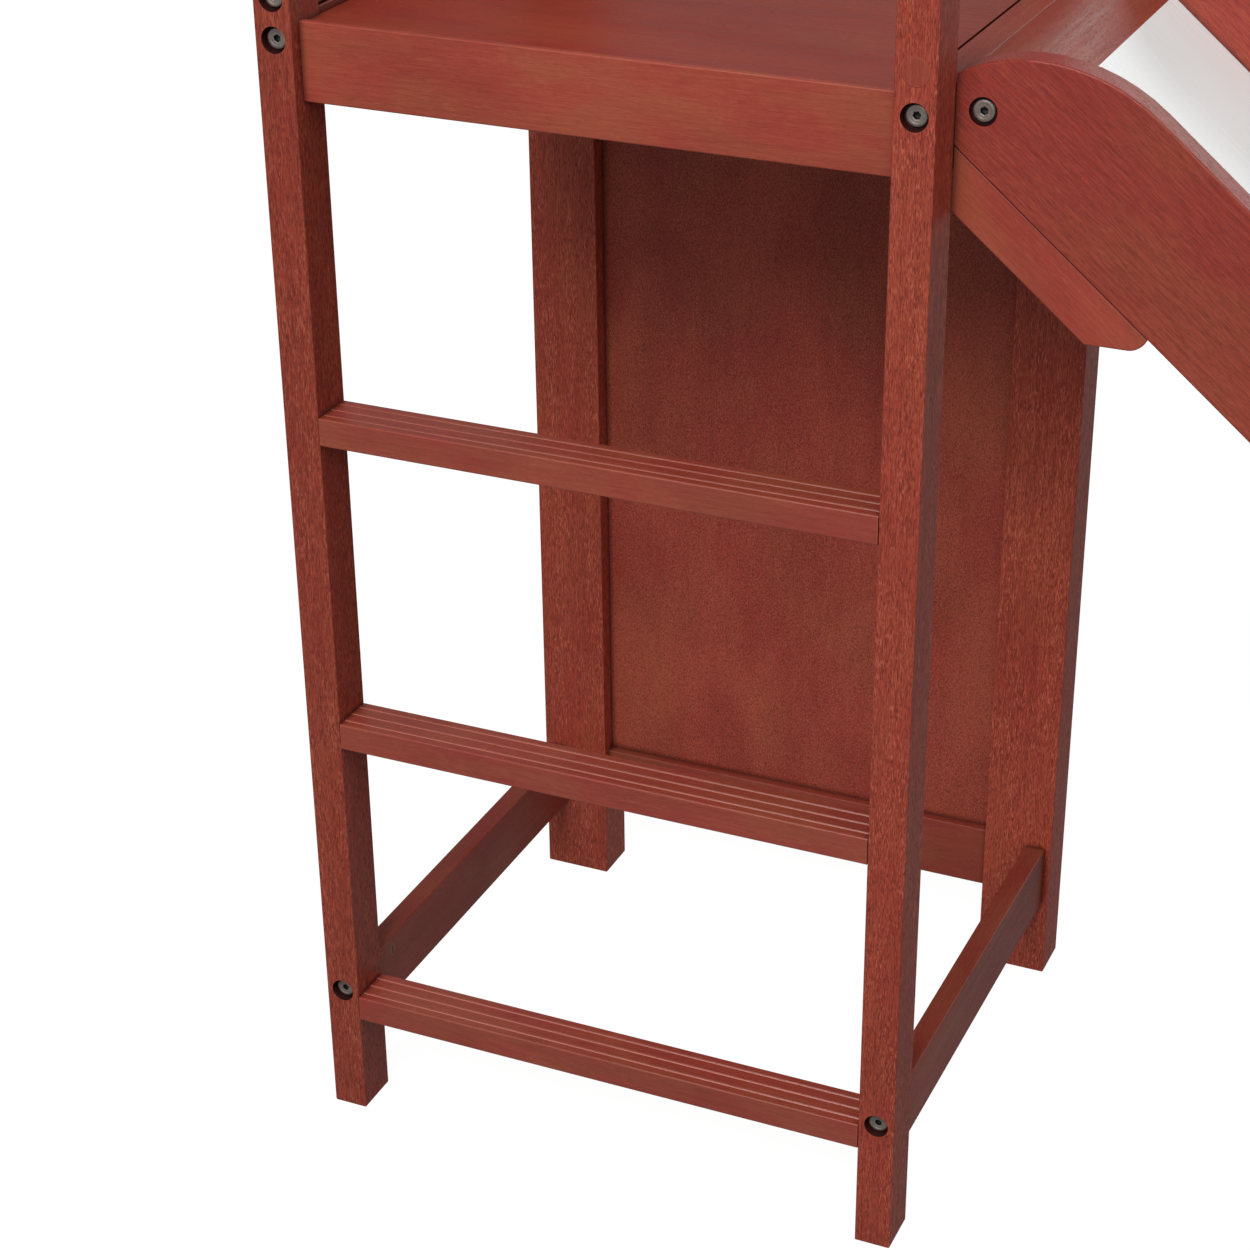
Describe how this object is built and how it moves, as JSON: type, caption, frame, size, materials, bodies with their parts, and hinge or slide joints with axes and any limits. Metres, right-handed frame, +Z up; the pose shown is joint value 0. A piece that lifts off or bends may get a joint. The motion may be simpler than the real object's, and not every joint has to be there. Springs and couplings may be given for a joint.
{
  "type": "playground slide tower",
  "caption": "Timber slide tower with ladder treads, deck, panelled back, side guard and a straight slide with convex crest and level run-out.",
  "frame": {"origin": "middle of the whole footprint at floor level", "axes": "+X from the ladder tower down the slide, +Y from the ladder front to the panelled back, +Z up"},
  "size_m": [2.1866, 0.5462, 1.48],
  "materials": {
    "stained_wood": "chestnut stain under satin clear coat",
    "slide_laminate": "smooth pale grey laminate",
    "bolt_bronze": "dark antique bronze",
    "zinc_steel": "zinc plated",
    "raw_beech": "unfinished"
  },
  "bodies": {
    "root": {"front_left_post": "stained_wood", "front_right_post": "stained_wood", "back_left_post": "stained_wood", "back_right_post": "stained_wood", "ladder_tread_lower": "stained_wood", "ladder_tread_middle": "stained_wood", "ladder_tread_upper": "stained_wood", "front_deck_apron": "stained_wood", "left_deck_apron": "stained_wood", "right_deck_apron": "stained_wood", "back_deck_apron": "stained_wood", "deck_panel": "stained_wood", "left_deck_cleat": "stained_wood", "right_deck_cleat": "stained_wood", "back_panel": "stained_wood", "back_panel_bottom_rail": "stained_wood", "left_bottom_stretcher": "stained_wood", "right_bottom_stretcher": "stained_wood", "guard_board_lower": "stained_wood", "guard_board_middle": "stained_wood", "guard_board_upper": "stained_wood", "slide_crossbar_upper": "stained_wood", "slide_crossbar_middle": "stained_wood", "slide_crossbar_lower": "stained_wood", "slide_exit_bar": "stained_wood", "slide_head_block": "stained_wood", "slide_front_hanger_cleat": "stained_wood", "slide_back_hanger_cleat": "stained_wood", "slide_front_side": "stained_wood", "slide_back_side": "stained_wood", "post_hole_plugs": "stained_wood", "slide_bed": "slide_laminate", "frame_connector_bolts": "bolt_bronze", "slide_side_bolts": "bolt_bronze", "slide_mount_bolts": "bolt_bronze", "frame_barrel_nuts": "bolt_bronze", "slide_side_inserts": "zinc_steel", "slide_mount_inserts": "zinc_steel", "bed_joining_inserts": "zinc_steel", "hanger_cleat_screws": "zinc_steel", "deck_cleat_screws": "zinc_steel", "ladder_dowels": "raw_beech", "side_rail_dowels": "raw_beech", "back_frame_dowels": "raw_beech"}
  },
  "joints": []
}
